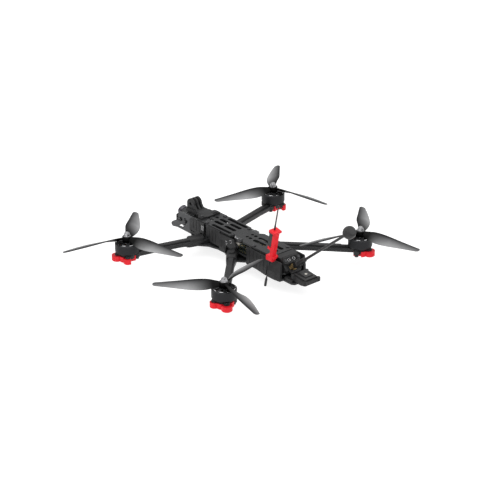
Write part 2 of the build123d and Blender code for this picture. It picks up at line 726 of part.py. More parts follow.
def gps_tray():
    """Wedge shaped printed tray with corner lugs and two side arms on the tail tongue."""
    outline = [
        (TRAY_Y[0], BOTTOM_Z[1]), (TRAY_Y[0], TRAY_TOP_Z[0]), (TRAY_Y[1], TRAY_TOP_Z[1]),
        (TRAY_Y[1], 4.6), (128, BOTTOM_Z[1]),
    ]
    shape = side_plate(outline, (-13, 13))
    for x in (-12.2, 12.2):
        for y, low, top in ((111.0, 2.5, 13.1), (134.8, 5.0, 10.6)):
            lug = disc(x, y, (low, top), 3.0)
            shape += chamfer(lug.edges().group_by(Axis.Z)[-1], 0.6)
    shape -= Pos(0, *TRAY_YZ) * (Rot(X=-tray_tilt()) * Box(22.4, 22.4, 4.0))
    for x in ((-17.6, -11), (11, 17.6)):
        arm_plate = block(x, (98.4, 114), (2.5, 6.2))
        arm_plate = fillet(arm_plate.edges().filter_by(Axis.Z), 1.5)
        shape += arm_plate
    for x in (-14.6, 14.6):
        shape -= disc(x, 106, (2, 7), 1.6)
    return shape


def tray_tilt():
    """Slope of the tray top down towards the tail, in degrees."""
    return degrees(atan2(TRAY_TOP_Z[0] - TRAY_TOP_Z[1], TRAY_Y[1] - TRAY_Y[0]))


def gps_module():
    """Square receiver puck with a raised lid, set in the tray."""
    case = chamfer(Box(22.2, 22.2, 4.6).edges().group_by(Axis.Z)[-1], 0.8)
    lid = Pos(0, 0, 2.7) * Box(14, 14, 0.8)
    return Pos(0, *TRAY_YZ) * (Rot(X=-tray_tilt()) * (Pos(0, 0, 0.3) * (case + lid)))


# ------------------------------------------------------------------ receiver antenna column

def whip_axis(distance):
    """Plane on the leaning antenna line, a distance above its crossing of the top plate."""
    lean = radians(WHIP_LEAN)
    up = Vector(0, sin(lean), cos(lean))
    return Plane(origin=Vector(WHIP_X, *WHIP_YZ) + up * distance, x_dir=(1, 0, 0), z_dir=up)


def whip_box(x, y, s):
    """Box in the leaning frame; y is positive towards the tail."""
    centre = Vector((x[0] + x[1]) / 2, (y[0] + y[1]) / 2, 0)
    return whip_axis(s[0]) * (Pos(centre) * Box(x[1] - x[0], y[1] - y[0], s[1] - s[0],
                                                align=(Align.CENTER, Align.CENTER, Align.MIN)))


def antenna_column():
    """Red printed mast clamped to the deck and the rear skin."""
    shape = whip_box((-3.2, 3.2), (1.4, 7.4), (-2.0, 44.9))
    shape += whip_box((-7, 7), (-3.8, 7.4), (41.9, 44.9))
    shape += whip_box((-3, 3), (-5.0, 1.5), (12.6, 16.6))
    shape += whip_box((-3, 3), (7.3, 10.5), (3.0, 6.0))
    shape += block((16, 27.0), (71.4, 84), (TOP_Z[1], 33.5))
    shape += block((20.0, 27.0), (71.4, 84), (26.0, TOP_Z[1]))
    shape -= whip_axis(-20) * extrude(Circle(WHIP_BORE_R), 80)
    return shape - loft(flare_sections(), ruled=True)


def antenna_t_block():
    shape = whip_box((-3.2, 3.2), (-5.6, 1.4), (18.2, 41.9))
    shape += whip_box((-4.6, 4.6), (-5.6, 1.4), (37.5, 41.9))
    return shape - whip_axis(10) * extrude(Circle(WHIP_BORE_R), 40)


def receiver_antennas():
    """One stiff whip above the deck, its tail and end capsule below."""
    upper = whip_axis(-12) * extrude(Circle(WHIP_R), 95.9)
    lower = whip_axis(-36.6) * extrude(Circle(WHIP_R), 24.7)
    capsule = whip_axis(-48.6) * extrude(Circle(1.75), 12.1)
    capsule = fillet(capsule.edges().filter_by(GeomType.CIRCLE), 0.6)
    return upper + lower + capsule


# ------------------------------------------------------------------ electronics

def stack_corners():
    return [(sx * STACK_HALF, STACK_Y + sy * STACK_HALF) for sx in (-1, 1) for sy in (-1, 1)]


def board(half, z):
    shape = block((-half, half), (STACK_Y - half, STACK_Y + half), z)
    shape = chamfer(shape.edges().filter_by(Axis.Z), 2.0)
    for x, y in stack_corners():
        shape -= disc(x, y, (z[0] - 1, z[1] + 1), M3_R)
    return shape


def esc_board():
    shape = board(19.0, (13.0, 14.6))
    for sx in (-1, 1):
        for row in (-9, -3, 3, 9):
            x = sx * 12.5
            shape += block((x - 2.3, x + 2.3), (STACK_Y + row - 2.4, STACK_Y + row + 2.4), (14.6, 15.6))
    return shape + block((-6, 6), (STACK_Y - 8, STACK_Y + 8), (14.6, 15.4))


def flight_controller():
    shape = board(18.4, (19.0, 20.6))
    shape += block((-5, 5), (STACK_Y - 5, STACK_Y + 5), (20.6, 21.6))
    shape += block((12.5, 19.2), (STACK_Y - 4.5, STACK_Y + 4.5), (20.6, 23.6))
    shape += block((-14.5, -10.5), (STACK_Y + 4, STACK_Y + 8), (20.6, 22.0))
    return shape - disc(-12.5, STACK_Y + 6, (20.9, 23), 1.0 + RUNNING_GAP)


def boot_button():
    return disc(-12.5, STACK_Y + 6, (21.4, 22.8), 1.0)


def stack_hardware():
    """Long screws, top nuts and rubber dampers that hold the two boards."""
    pieces = []
    for x, y in stack_corners():
        nut = Pos(x, y, 22.2) * extrude(RegularPolygon(2.9, 6), amount=2.2)
        pieces.append(disc(x, y, (MID_Z[0], 25.0), M3_R) + nut)
        for z in ((MID_Z[1], 13.0), (14.6, 19.0), (20.6, 22.2)):
            pieces.append(disc(x, y, z, 2.6) - disc(x, y, z, M3_R))
    return group(pieces)


def video_transmitter():
    shape = block((-13.4, 13.4), (41, 64.5), (MID_Z[1], 16.5))
    for k in range(7):
        x = -12 + 4 * k
        shape += block((x - 0.8, x + 0.8), (43, 62.5), (16.4, 20.5))
    return shape


def receiver_board():
    return block((-6.5, 6.5), (79.5, 92), (MID_Z[1] + 2.6, 16.4))


def power_capacitor():
    """Low resistance capacitor lying in the slot of the mid plate."""
    rest = (CAPACITOR_R ** 2 - CRADLE_HALF ** 2) ** 0.5
    return Pos(0, -42.0, MID_Z[1] + rest + 0.02) * (Rot(X=90) * Cylinder(CAPACITOR_R, 24.0))


PAIRED = {
    "arm": arm, "motor_base": motor_base, "stator": stator, "motor_bell": motor_bell,
    "shaft_and_nut": shaft_and_nut, "propeller": propeller,
}
SINGLE = [
    arm_covers, motor_guards, bottom_plate, mid_plate, top_plate, waist_brackets, standoffs,
    frame_screws, motor_wires, cage_crossbars, bumper_roller, camera_body, camera_bracket,
    camera_lens, camera_screws, action_camera_mount, side_panels_front, side_panels_middle,
    side_panels_rear, rear_shroud, sma_connector, vtx_antenna, gps_tray, gps_module,
    antenna_column, antenna_t_block, receiver_antennas,
]
ELECTRONICS = [
    esc_board, flight_controller, boot_button, stack_hardware, video_transmitter,
    receiver_board, power_capacitor,
]


def main():
    os.makedirs("parts", exist_ok=True)
    for kind, build in PAIRED.items():
        for name in MOTORS:
            save(build(name), f"{kind}_{name}")
    for build in SINGLE + ELECTRONICS:
        save(build(), build.__name__)
    left, right = both_sides(cage_plate())
    save(left, "cage_plate_left")
    save(right, "cage_plate_right")


main()
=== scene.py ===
import json
import math

import bmesh
import bpy
from mathutils import Matrix, Vector


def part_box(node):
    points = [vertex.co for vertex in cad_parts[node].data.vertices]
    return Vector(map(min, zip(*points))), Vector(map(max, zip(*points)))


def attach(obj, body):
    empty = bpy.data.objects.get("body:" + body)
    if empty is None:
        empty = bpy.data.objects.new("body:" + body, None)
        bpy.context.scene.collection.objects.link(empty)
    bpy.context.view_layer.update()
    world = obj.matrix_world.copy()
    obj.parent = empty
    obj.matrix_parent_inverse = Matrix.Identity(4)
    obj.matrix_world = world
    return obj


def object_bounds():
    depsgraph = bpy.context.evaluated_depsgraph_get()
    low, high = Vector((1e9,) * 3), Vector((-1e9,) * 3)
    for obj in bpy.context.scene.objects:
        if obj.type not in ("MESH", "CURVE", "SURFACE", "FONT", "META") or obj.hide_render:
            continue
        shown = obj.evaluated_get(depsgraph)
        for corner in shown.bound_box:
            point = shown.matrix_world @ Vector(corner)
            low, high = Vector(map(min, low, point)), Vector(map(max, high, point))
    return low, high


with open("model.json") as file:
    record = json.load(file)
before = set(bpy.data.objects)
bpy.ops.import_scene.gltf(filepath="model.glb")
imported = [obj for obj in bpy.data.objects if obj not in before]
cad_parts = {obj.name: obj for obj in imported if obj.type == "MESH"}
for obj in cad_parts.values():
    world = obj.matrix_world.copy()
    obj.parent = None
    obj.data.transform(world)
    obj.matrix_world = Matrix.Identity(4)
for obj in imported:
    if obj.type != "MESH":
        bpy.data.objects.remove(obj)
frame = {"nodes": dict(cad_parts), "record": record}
cad_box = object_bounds()
MM = 0.001
BLADE_LENGTH = 96.0
BLADE_CHORD = 20.0
COPPER_INSIDE = 7.3
COPPER_OUTSIDE = 12.5
BLADE_REST = {"fl": -15.5, "fr": -14.4, "rr": -16.5, "rl": -41.9}
SPIN = {"fl": 1, "fr": -1, "rr": 1, "rl": -1}


# ------------------------------------------------------------------ node helpers

def new_material(name, base, roughness, metallic=0.0, specular=0.5):
    """A Principled material whose plain values sit on the shader's own sockets."""
    material = bpy.data.materials.new(name)
    material.use_nodes = True
    shader = material.node_tree.nodes["Principled BSDF"]
    shader.inputs["Base Color"].default_value = (*base, 1.0)
    shader.inputs["Roughness"].default_value = roughness
    shader.inputs["Metallic"].default_value = metallic
    shader.inputs["Specular IOR Level"].default_value = specular
    return material, material.node_tree, shader


def add(tree, kind, **values):
    """Adds a node; values name its properties or its input sockets."""
    node = tree.nodes.new(kind)
    for key, value in values.items():
        if key in node.inputs:
            node.inputs[key].default_value = value
        else:
            setattr(node, key, value)
    return node


def place(tree, turn=0.0, scale=(1.0, 1.0, 1.0)):
    """Object coordinates in millimetres, turned about Z and scaled."""
    source = add(tree, "ShaderNodeTexCoord")
    mapping = add(tree, "ShaderNodeMapping")
    mapping.inputs["Rotation"].default_value = (0.0, 0.0, turn)
    mapping.inputs["Scale"].default_value = [s / MM for s in scale]
    tree.links.new(source.outputs["Object"], mapping.inputs["Vector"])
    return mapping.outputs["Vector"]


def noise(tree, vector, scale, detail=3.0):
    node = add(tree, "ShaderNodeTexNoise", Scale=scale, Detail=detail)
    tree.links.new(vector, node.inputs["Vector"])
    return node.outputs["Fac"]


def wave(tree, vector, scale, direction, distortion=0.0):
    node = add(tree, "ShaderNodeTexWave", Scale=scale, Distortion=distortion, bands_direction=direction)
    tree.links.new(vector, node.inputs["Vector"])
    return node.outputs["Fac"]


def ramp(tree, factor, low, high, start=0.3, end=0.7):
    """Colour or grey ramp between two values."""
    node = add(tree, "ShaderNodeValToRGB")
    first, last = node.color_ramp.elements
    first.position, last.position = start, end
    first.color = (*low, 1.0)
    last.color = (*high, 1.0)
    tree.links.new(factor, node.inputs["Fac"])
    return node.outputs["Color"]


def grey(value):
    return (value, value, value)


def maths(tree, operation, *values):
    node = add(tree, "ShaderNodeMath", operation=operation)
    for socket, value in zip(node.inputs, values):
        if isinstance(value, (int, float)):
            socket.default_value = value
        else:
            tree.links.new(value, socket)
    return node.outputs[0]


def mix_colour(tree, factor, first, second):
    node = add(tree, "ShaderNodeMix", data_type="RGBA")
    tree.links.new(factor, node.inputs[0])
    for socket, value in ((node.inputs[6], first), (node.inputs[7], second)):
        if isinstance(value, tuple):
            socket.default_value = (*value, 1.0)
        else:
            tree.links.new(value, socket)
    return node.outputs[2]


def bump(tree, shader, height, distance_mm, strength=1.0, rounding_mm=0.35):
    """Fine relief over edges that the bevel node rounds a little."""
    node = add(tree, "ShaderNodeBump", Strength=strength, Distance=distance_mm * MM)
    bevel = add(tree, "ShaderNodeBevel", samples=4, Radius=rounding_mm * MM)
    tree.links.new(bevel.outputs["Normal"], node.inputs["Normal"])
    tree.links.new(height, node.inputs["Height"])
    tree.links.new(node.outputs["Normal"], shader.inputs["Normal"])


def edge_wear(tree, width_mm=0.3):
    """White along edges, where a bevelled normal leaves the true one, broken up by noise."""
    geometry = add(tree, "ShaderNodeNewGeometry")
    bevel = add(tree, "ShaderNodeBevel", samples=4, Radius=width_mm * MM)
    dot = add(tree, "ShaderNodeVectorMath", operation="DOT_PRODUCT")
    tree.links.new(geometry.outputs["Normal"], dot.inputs[0])
    tree.links.new(bevel.outputs["Normal"], dot.inputs[1])
    edge = maths(tree, "SUBTRACT", 1.0, dot.outputs["Value"])
    broken = maths(tree, "MULTIPLY", edge, noise(tree, place(tree), 0.35, 2.0))
    return ramp(tree, broken, grey(0.0), grey(1.0), 0.01, 0.12)


# ------------------------------------------------------------------ materials

def carbon_fibre():
    """Twill of 2 mm tows under a thin satin resin."""
    material, tree, shader = new_material("carbon_fibre", grey(0.02), 0.42, 0.0, 0.25)
    vector = place(tree, math.radians(45))
    checker = add(tree, "ShaderNodeTexChecker", Scale=0.5)
    tree.links.new(vector, checker.inputs["Vector"])
    along = wave(tree, vector, 1.1, "X", 0.3)
    across = wave(tree, vector, 1.1, "Y", 0.3)
    tows = mix_colour(tree, checker.outputs["Fac"], along, across)
    tone = mix_colour(tree, checker.outputs["Fac"], (0.010, 0.0103, 0.011), (0.022, 0.0225, 0.024))
    patches = ramp(tree, noise(tree, place(tree), 0.05), grey(0.82), grey(1.15))
    worn = mix_colour(tree, edge_wear(tree), multiply(tree, tone, patches), (0.1, 0.1, 0.105))
    tree.links.new(worn, shader.inputs["Base Color"])
    tree.links.new(ramp(tree, tows, grey(0.36), grey(0.52), 0.0, 1.0), shader.inputs["Roughness"])
    bump(tree, shader, tows, 0.05, 0.5)
    shader.inputs["Coat Weight"].default_value = 0.08
    return material


def printed(name, low, high, roughness):
    """Flexible filament print: fine layers, slight mottling and a soft sheen."""
    material, tree, shader = new_material(name, low, roughness, 0.0, 0.3)
    vector = place(tree)
    layers = wave(tree, vector, 1.25, "Z", 0.4)
    grain = noise(tree, vector, 0.9, 4.0)
    tree.links.new(ramp(tree, noise(tree, vector, 0.12), low, high), shader.inputs["Base Color"])
    rough = ramp(tree, grain, grey(roughness - 0.08), grey(roughness + 0.1))
    tree.links.new(rough, shader.inputs["Roughness"])
    height = maths(tree, "ADD", maths(tree, "MULTIPLY", layers, 0.7), maths(tree, "MULTIPLY", grain, 0.5))
    bump(tree, shader, height, 0.06, 0.6)
    return material


def moulded(name, base, roughness, coat=0.0):
    """Injection moulded plastic with a fine spark texture."""
    material, tree, shader = new_material(name, base, roughness, 0.0, 0.4)
    vector = place(tree)
    grain = noise(tree, vector, 2.2, 2.0)
    light = tuple(min(1.0, c * 1.35 + 0.004) for c in base)
    tree.links.new(ramp(tree, noise(tree, vector, 0.08), base, light), shader.inputs["Base Color"])
    rough = ramp(tree, grain, grey(max(0.05, roughness - 0.06)), grey(roughness + 0.08))
    tree.links.new(rough, shader.inputs["Roughness"])
    bump(tree, shader, grain, 0.02, 0.35)
    shader.inputs["Coat Weight"].default_value = coat
    return material


def metal(name, base, roughness, worn=None, stretch=(1.0, 1.0, 1.0), grain_scale=1.2):
    """Machined or anodised metal with tool marks and brighter worn edges."""
    material, tree, shader = new_material(name, base, roughness, 1.0)
    vector = place(tree, 0.0, stretch)
    marks = noise(tree, vector, grain_scale, 5.0)
    dark = tuple(c * 0.82 for c in base)
    tone = ramp(tree, marks, dark, tuple(min(1.0, c * 1.12) for c in base))
    if worn:
        tone = mix_colour(tree, edge_wear(tree), tone, worn)
    tree.links.new(tone, shader.inputs["Base Color"])
    rough = ramp(tree, marks, grey(roughness - 0.07), grey(roughness + 0.12))
    tree.links.new(rough, shader.inputs["Roughness"])
    bump(tree, shader, marks, 0.01, 0.5)
    return material


def polar(tree, centre):
    """Radius in millimetres and angle about a vertical axis through centre."""
    source = add(tree, "ShaderNodeTexCoord")
    shift = add(tree, "ShaderNodeVectorMath", operation="SUBTRACT")
    shift.inputs[1].default_value = centre
    tree.links.new(source.outputs["Object"], shift.inputs[0])
    split = add(tree, "ShaderNodeSeparateXYZ")
    tree.links.new(shift.outputs[0], split.inputs[0])
    x, y = split.outputs[0], split.outputs[1]
    square = maths(tree, "ADD", maths(tree, "MULTIPLY", x, x), maths(tree, "MULTIPLY", y, y))
    radius = maths(tree, "MULTIPLY", maths(tree, "POWER", square, 0.5), 1.0 / MM)
    return radius, maths(tree, "ARCTAN2", y, x)


def multiply(tree, first, second):
    node = add(tree, "ShaderNodeMix", data_type="RGBA", blend_type="MULTIPLY")
    node.inputs[0].default_value = 1.0
    tree.links.new(first, node.inputs[6])
    tree.links.new(second, node.inputs[7])
    return node.outputs[2]


def propeller_plastic(motor, centre):
    """Smoky glossy polycarbonate with a dark thick root; a painted reflection lightens each blade from the
    dark leading edge towards the trailing edge, and painted shade darkens faces that point down.
    """
    material, tree, shader = new_material(f"prop_plastic_{motor}", grey(0.05), 0.3, 0.0, 0.03)
    vector = place(tree)
    radius, angle = polar(tree, centre)
    turned = maths(tree, "SUBTRACT", angle, math.radians(BLADE_REST[motor]))
    offset = maths(tree, "WRAP", turned, math.radians(60), math.radians(-60))
    forward = maths(tree, "MULTIPLY", radius, SPIN[motor])
    across = maths(tree, "MULTIPLY", forward, maths(tree, "SINE", offset))
    chord = maths(tree, "ADD", maths(tree, "DIVIDE", across, BLADE_CHORD), 0.5)
    # Colour across the chord: smoky tint, plus a painted reflection that lightens it towards the trailing
    # edge.
    smoke_and_painted_reflection = ramp(tree, chord, (0.31, 0.311, 0.315), (0.014, 0.014, 0.015), 0.02, 0.76)
    outward = maths(tree, "DIVIDE", radius, BLADE_LENGTH)
    root = ramp(tree, outward, grey(0.04), grey(1.0), 0.16, 0.5)
    # Painted shade: base colour darkened on faces whose normal points down, standing in for the shadow
    # under each blade.
    geometry = add(tree, "ShaderNodeNewGeometry")
    facing = add(tree, "ShaderNodeSeparateXYZ")
    tree.links.new(geometry.outputs["Normal"], facing.inputs[0])
    upward = maths(tree, "ADD", facing.outputs[2], 0.5)
    painted_underside_shade = ramp(tree, upward, grey(0.03), grey(1.0), 0.72, 1.25)
    cloud = ramp(tree, noise(tree, vector, 0.06, 2.0), grey(0.85), grey(1.05))
    lit = multiply(tree, multiply(tree, smoke_and_painted_reflection, root), multiply(tree, painted_underside_shade, cloud))
    tree.links.new(lit, shader.inputs["Base Color"])
    fine = noise(tree, vector, 0.8, 3.0)
    tree.links.new(ramp(tree, fine, grey(0.3), grey(0.42)), shader.inputs["Roughness"])
    bump(tree, shader, fine, 0.01, 0.3)
    shader.inputs["Coat Weight"].default_value = 0.04
    shader.inputs["Coat Roughness"].default_value = 0.15
    return material


def winding(name, centre):
    """Copper wire on the teeth, dark lacquered iron at the ring and the tooth tips."""
    material, tree, shader = new_material(f"copper_winding_{name}", (0.4, 0.17, 0.07), 0.35, 0.8)
    radius = polar(tree, centre)[0]
    inside = maths(tree, "MULTIPLY", maths(tree, "GREATER_THAN", radius, COPPER_INSIDE),
                   maths(tree, "LESS_THAN", radius, COPPER_OUTSIDE))
    turns = maths(tree, "SINE", maths(tree, "MULTIPLY", radius, 9.0))
    copper = ramp(tree, turns, (0.35, 0.13, 0.05), (0.78, 0.36, 0.16), 0.1, 0.9)
    tree.links.new(mix_colour(tree, inside, (0.05, 0.05, 0.055), copper), shader.inputs["Base Color"])
    bump(tree, shader, turns, 0.08, 0.7)
    return material


def circuit_board():
    """Dark solder mask with faint copper tracks."""
    material, tree, shader = new_material("circuit_board", (0.008, 0.012, 0.011), 0.35, 0.0, 0.35)
    vector = place(tree)
    bricks = add(tree, "ShaderNodeTexBrick", Scale=0.35)
    bricks.inputs["Mortar Size"].default_value = 0.03
    tree.links.new(vector, bricks.inputs["Vector"])
    tracks = mix_colour(tree, bricks.outputs["Fac"], (0.008, 0.011, 0.01), (0.02, 0.03, 0.026))
    pads = ramp(tree, noise(tree, vector, 0.9, 0.0), grey(0.0), grey(1.0), 0.72, 0.74)
    tree.links.new(mix_colour(tree, pads, tracks, (0.5, 0.36, 0.14)), shader.inputs["Base Color"])
    bump(tree, shader, bricks.outputs["Fac"], 0.03, 0.5)
    shader.inputs["Coat Weight"].default_value = 0.15
    return material


def lens_glass():
    """Dark coated optical glass with a faint violet bloom."""
    material, tree, shader = new_material("lens_glass", (0.01, 0.01, 0.02), 0.06)
    bloom = ramp(tree, noise(tree, place(tree), 0.15), (0.006, 0.006, 0.012), (0.03, 0.012, 0.05))
    tree.links.new(bloom, shader.inputs["Base Color"])
    shader.inputs["Coat Weight"].default_value = 1.0
    shader.inputs["Coat Roughness"].default_value = 0.02
    return material


MATERIALS = {
    "carbon_fibre": carbon_fibre(),
    "black_tpu": printed("black_tpu", (0.011, 0.011, 0.0115), (0.02, 0.02, 0.021), 0.55),
    "red_tpu": printed("red_tpu", (0.65, 0.004, 0.012), (0.76, 0.012, 0.024), 0.5),
    "black_anodised": metal("black_anodised", (0.034, 0.0345, 0.0365), 0.5, (0.3, 0.3, 0.31)),
    "dark_steel": metal("dark_steel", (0.06, 0.06, 0.063), 0.36, (0.3, 0.3, 0.31)),
    "steel": metal("steel", (0.34, 0.34, 0.35), 0.27, (0.8, 0.8, 0.81)),
    "silver_aluminium": metal("silver_aluminium", (0.075, 0.076, 0.079), 0.38, (0.55, 0.55, 0.56),
                              (0.25, 0.25, 4.0)),
    "brass": metal("brass", (0.2, 0.14, 0.06), 0.3, (0.85, 0.68, 0.38)),
    "black_plastic": moulded("black_plastic", (0.009, 0.009, 0.0095), 0.42, 0.05),
    "circuit_board": circuit_board(),
    "lens_glass": lens_glass(),
}


def middle(node):
    """Centre of a CAD node's box."""
    low, high = (Vector(corner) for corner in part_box(node))
    return (low + high) / 2


def dress_cad_nodes():
    """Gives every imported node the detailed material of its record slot."""
    for entry in frame["record"]["subparts"]:
        node = frame["nodes"][entry["node"]]
        slot = entry["material_slot"]
        if slot == "copper_winding":
            material = winding(entry["node"], middle(entry["node"]))
        elif slot == "prop_plastic":
            motor = entry["node"].split("_")[-1]
            material = propeller_plastic(motor, middle(f"shaft_and_nut_{motor}"))
        else:
            material = MATERIALS[slot]
        node.data.materials.clear()
        node.data.materials.append(material)


# ------------------------------------------------------------------ detail pieces

TAIL_RISE = math.radians(39.4)
TAIL_OUT = Vector((0.0, math.cos(TAIL_RISE), math.sin(TAIL_RISE)))
TAIL_UP = Vector((0.0, -math.sin(TAIL_RISE), math.cos(TAIL_RISE)))
TAIL_POINT = Vector((0.0, 98.7, 16.9))
LENS_TILT = math.radians(20.0)
LENS_POINT = Vector((0.0, -130.0, 14.5))
WHIP_TILT = math.radians(11.7)
WHIP_POINT = Vector((24.0, 76.5, 30.5))
BRIGHT = metal("bright_machined", (0.75, 0.75, 0.76), 0.22)
# Pale moulded plastic for the wire sockets; the same colour also paints the glint tile on the GPS lid.
IVORY_AND_GLINT = moulded("ivory_nylon_and_painted_glint", (0.42, 0.40, 0.36), 0.45)
CHIP = moulded("chip_resin", (0.02, 0.02, 0.022), 0.35)


def finish_piece(name, mesh, material, body):
    """Turns a bmesh, in millimetres, into a smooth shaded piece that rides on a body."""
    data = bpy.data.meshes.new(name)
    bmesh.ops.recalc_face_normals(mesh, faces=mesh.faces)
    bmesh.ops.scale(mesh, vec=(MM, MM, MM), verts=mesh.verts)
    for face in mesh.faces:
        face.smooth = True
    for edge in mesh.edges:
        edge.smooth = edge.calc_face_angle(0.0) < math.radians(35)
    mesh.to_mesh(data)
    mesh.free()
    piece = bpy.data.objects.new(name, data)
    bpy.context.collection.objects.link(piece)
    data.materials.append(material)
    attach(piece, body)
    return piece


def axes(origin, out, across):
    """Matrix whose Z runs along out and X along across."""
    out, across = out.normalized(), across.normalized()
    turned = Matrix((across, out.cross(across), out)).transposed()
    return Matrix.Translation(origin) @ turned.to_4x4()


def lathe(mesh, profile, matrix, start=0.0, sweep=360.0, steps=40):
    """Revolves a closed profile of (radius, height); a part turn is capped at both ends."""
    whole = sweep >= 360.0
    rings = []
    for k in range(steps if whole else steps + 1):
        turn = math.radians(start + sweep * k / steps)
        rings.append([mesh.verts.new(matrix @ Vector((r * math.cos(turn), r * math.sin(turn), h)))
                      for r, h in profile])
    pairs = list(zip(rings, rings[1:])) + ([(rings[-1], rings[0])] if whole else [])
    size = len(profile)
    for one, other in pairs:
        for i in range(size):
            j = (i + 1) % size
            mesh.faces.new((one[i], one[j], other[j], other[i]))
    if not whole:
        mesh.faces.new(rings[0])
        mesh.faces.new(rings[-1])


def block(mesh, low, high, matrix=Matrix(), edge=0.2):
    """Box between two corners with bevelled edges."""
    low, high = Vector(low), Vector(high)
    made = bmesh.ops.create_cube(mesh, size=1.0, matrix=matrix @ Matrix.Translation((low + high) / 2)
                                 @ Matrix.Diagonal((*(high - low), 1.0)))
    edges = {e for v in made["verts"] for e in v.link_edges}
    bmesh.ops.bevel(mesh, geom=list(edges), offset=edge, segments=2, affect="EDGES", profile=0.7)


def motor_frame(motor):
    """Matrix in millimetres that stands on the motor's axis at the height of the bottom plate."""
    centre = middle(f"shaft_and_nut_{motor}") / MM
    return Matrix.Translation((centre.x, centre.y, 0.0))


def bell_trims():
    """Bright machined lip on the outer edge of each window in the bell tops."""
    for motor in BLADE_REST:
        mesh = bmesh.new()
        origin = motor_frame(motor)
        profile = [(14.95, 25.3), (15.7, 25.2), (15.7, 25.56), (15.35, 25.75), (14.95, 25.72)]
        for k in range(9):
            lathe(mesh, profile, origin, 40 * k - 13.5, 19.5, 8)
        finish_piece(f"bell_window_trim_{motor}", mesh, BRIGHT, f"rotor_{motor}")


def bracket_edges():
    """Bright cut edge on the waist brackets and the clip springs of the front skins."""
    mesh = bmesh.new()
    for side in (-1, 1):
        corner = Vector((side * 14.9, -6.5, 30.5))
        run = Vector((side * 4.6, 3.2, 0.0))
        matrix = axes(corner, Vector((0.0, 0.0, 1.0)), run)
        block(mesh, (0.0, -0.3, -0.1), (run.length, 0.3, 0.35), matrix, 0.12)
        block(mesh, (19.0 * side - 0.3, -2.6, 30.4), (19.0 * side + 0.3, 3.0, 30.85), edge=0.12)
        for y in (-73.6, -70.9):
            block(mesh, (22.0 * side - 0.25, y - 0.3, 18.5), (22.0 * side + 0.25, y + 0.3, 25.5), edge=0.12)
    finish_piece("bright_clips", mesh, BRIGHT, "airframe")


def vent_inserts():
    """Bright threaded inserts round the screws of the vent blocks."""
    mesh = bmesh.new()
    for side in (-1, 1):
        for y, z in ((-17.5, 19.0), (-8.0, 23.6)):
            matrix = axes(Vector((side * 23.6, y, z)), Vector((side, 0.0, 0.0)), Vector((0.0, 1.0, 0.0)))
            lathe(mesh, [(1.95, -0.1), (2.5, -0.1), (2.4, 0.35), (1.95, 0.45)], matrix, steps=24)
    finish_piece("vent_inserts", mesh, BRIGHT, "airframe")


def hub_rings():
    """Raised collar that each propeller hub carries round its nut."""
    for motor in BLADE_REST:
        mesh = bmesh.new()
        origin = motor_frame(motor)
        lathe(mesh, [(5.4, 33.8), (6.0, 33.8), (6.0, 34.4), (5.4, 34.5)], origin)
        finish_piece(f"propeller_collar_{motor}", mesh, MATERIALS["black_plastic"],
                     f"rotor_{motor}")


def lens_element():
    """Domed front glass with a retaining ring, tilting with the camera."""
    out = Vector((0.0, -math.cos(LENS_TILT), math.sin(LENS_TILT)))
    matrix = axes(LENS_POINT, out, Vector((1.0, 0.0, 0.0)))
    mesh = bmesh.new()
    dome = [(0.05, 17.06), (5.3, 17.06)]
    for k in range(7):
        rise = k * math.pi / 14
        dome.append((5.3 * math.cos(rise), 17.1 + 1.35 * math.sin(rise)))
    lathe(mesh, dome + [(0.05, 18.45)], matrix)
    finish_piece("lens_front_element", mesh, MATERIALS["lens_glass"], "camera")
    mesh = bmesh.new()
    lathe(mesh, [(5.35, 17.06), (5.75, 17.06), (5.75, 18.3), (5.35, 17.9)], matrix)
    for k in range(24):
        lathe(mesh, [(7.38, 14.2), (7.6, 14.2), (7.6, 16.8), (7.38, 16.8)], matrix, 15 * k, 7.5, 2)
    finish_piece("lens_focus_ring", mesh, MATERIALS["black_anodised"], "camera")


def port_shells():
    """Bright shells of the two ports in the tail bar, each with a dark tongue."""
    shells, tongues = bmesh.new(), bmesh.new()
    for x in (-4.4, 4.4):
        centre = TAIL_POINT + TAIL_UP * 10.6 + Vector((x, 0.0, 0.0))
        matrix = axes(centre, TAIL_OUT, Vector((-1.0, 0.0, 0.0)))
        lathe(shells, [(1.75, 0.4), (2.2, 0.4), (2.2, 1.9), (1.95, 2.05), (1.75, 1.9)], matrix, steps=28)
        block(tongues, (-1.1, -0.3, 0.3), (1.1, 0.3, 1.5), matrix, 0.08)
    finish_piece("port_shells", shells, BRIGHT, "airframe")
    finish_piece("port_tongues", tongues, CHIP, "airframe")


def antenna_trims():
    """Knurled collar, sleeve ribs and head seam of the video antenna."""
    matrix = axes(TAIL_POINT, TAIL_OUT, Vector((-1.0, 0.0, 0.0)))
    mesh = bmesh.new()
    for k in range(20):
        lathe(mesh, [(4.25, 4.4), (4.55, 4.5), (4.55, 10.7), (4.25, 10.9)], matrix, 18 * k, 8.0, 2)
    for s in (14.0, 16.0, 18.0, 20.0):
        lathe(mesh, [(3.45, s), (3.75, s + 0.2), (3.75, s + 0.8), (3.45, s + 1.0)], matrix)
    lathe(mesh, [(8.7, 138.2), (9.05, 138.3), (9.05, 138.8), (8.7, 138.9)], matrix)
    finish_piece("video_antenna_trims", mesh, MATERIALS["black_plastic"], "video_antenna")


def whip_sleeves():
    """Heat shrink sleeves with crimped ends along the receiver whip."""
    out = Vector((0.0, math.sin(WHIP_TILT), math.cos(WHIP_TILT)))
    matrix = axes(WHIP_POINT, out, Vector((1.0, 0.0, 0.0)))
    mesh = bmesh.new()
    for low, high in ((45.4, 52.0), (-40.2, -34.2), (79.6, 83.6)):
        profile = [(0.86, low), (1.15, low + 0.3), (1.3, low + 0.8)]
        profile += [(1.3, high - 0.8), (1.15, high - 0.3), (0.86, high)]
        lathe(mesh, profile, matrix, steps=20)
    for s in (-46.6, -44.6, -42.6):
        lathe(mesh, [(1.7, s), (1.85, s + 0.15), (1.85, s + 0.65), (1.7, s + 0.8)], matrix, steps=24)
    finish_piece("whip_sleeves", mesh, MATERIALS["black_plastic"], "airframe")


